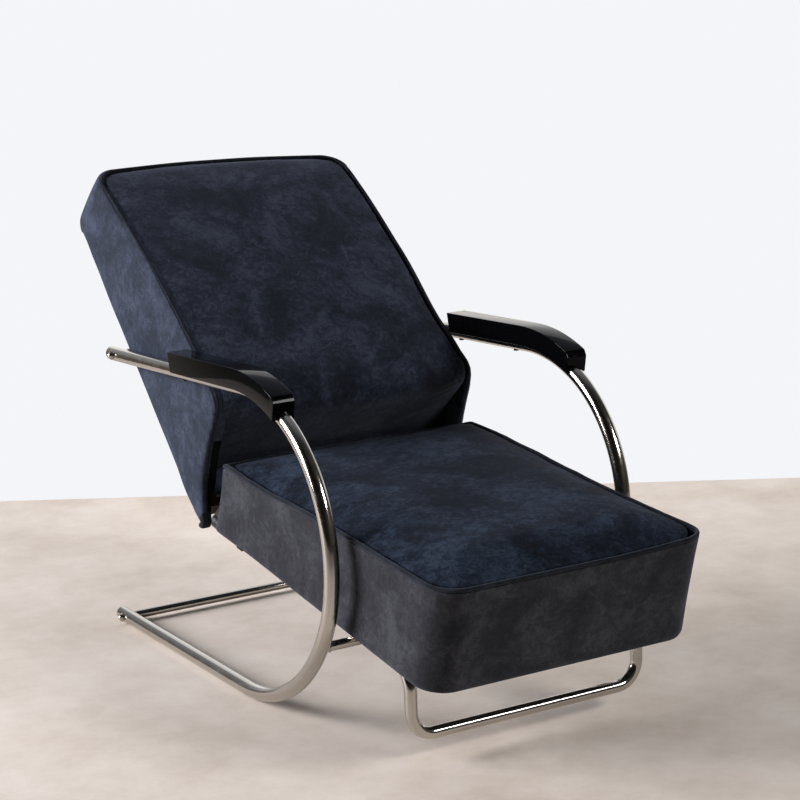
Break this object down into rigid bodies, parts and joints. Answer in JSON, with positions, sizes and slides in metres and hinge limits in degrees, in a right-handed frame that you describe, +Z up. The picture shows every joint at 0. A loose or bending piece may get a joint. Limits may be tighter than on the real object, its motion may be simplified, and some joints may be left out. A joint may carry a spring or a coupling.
{
  "type": "cantilever lounge chair",
  "caption": "Reclining lounge chair: upholstered back and sliding seat on a cantilever frame of bent chromed tube with black arm pads.",
  "frame": {"origin": "middle of the chair's width and depth in the pose of the picture, on the floor", "axes": "+Z up, -Y to the chair's front, +X to the sitter's left"},
  "size_m": [0.597, 1.2102, 0.8121],
  "materials": {
    "chrome": "polished chrome plate on steel tube",
    "black_lacquer": "gloss black lacquer on turned hardwood",
    "upholstery": "dark slate blue microfibre suede, matt with a soft nap",
    "piping_cloth": "the same cloth cut on the bias over cord",
    "beech": "planed beech, unfinished",
    "jute": "woven jute webbing",
    "steel": "plain steel, lightly oiled",
    "base_cloth": "black spun dust cloth"
  },
  "bodies": {
    "frame": {"side_tube_right": "chrome", "side_tube_left": "chrome", "tube_end_plugs": "chrome", "top_rear_tube": "chrome", "rear_floor_tube": "chrome", "front_seat_tube": "chrome", "tube_bolts": "chrome", "bolt_washers": "chrome", "arm_pad_right": "black_lacquer", "arm_pad_left": "black_lacquer", "arm_pad_screws": "steel"},
    "back": {"back_frame": "beech", "back_border": "upholstery", "back_panel": "upholstery", "back_foot_panel": "upholstery", "back_webbing": "jute", "back_springs": "steel", "back_cushion": "upholstery", "back_piping": "piping_cloth", "pivot_rod": "steel", "hinge_clips": "steel", "hinge_clip_screws": "steel"},
    "seat": {"seat_frame": "beech", "seat_border": "upholstery", "seat_webbing": "jute", "seat_springs": "steel", "seat_cushion": "upholstery", "seat_piping": "piping_cloth", "seat_base_cloth": "base_cloth", "seat_sled": "chrome", "sled_eyes": "steel", "sled_saddles": "steel", "sled_saddle_screws": "steel"}
  },
  "joints": [
    {"name": "back_recline", "type": "hinge", "parent": "frame", "child": "back", "pos_m": [0, 0.41941, 0.50694], "axis": [1, 0, 0], "range_deg": [-8, 8]},
    {"name": "seat_hinge", "type": "hinge", "parent": "back", "child": "seat", "pos_m": [0, 0.16374, 0.28352], "axis": [1, 0, 0], "range_deg": [-13, 13]}
  ],
  "couplings": [
    {"joint": "seat_hinge", "follows": "back_recline", "ratio": -1.609}
  ]
}
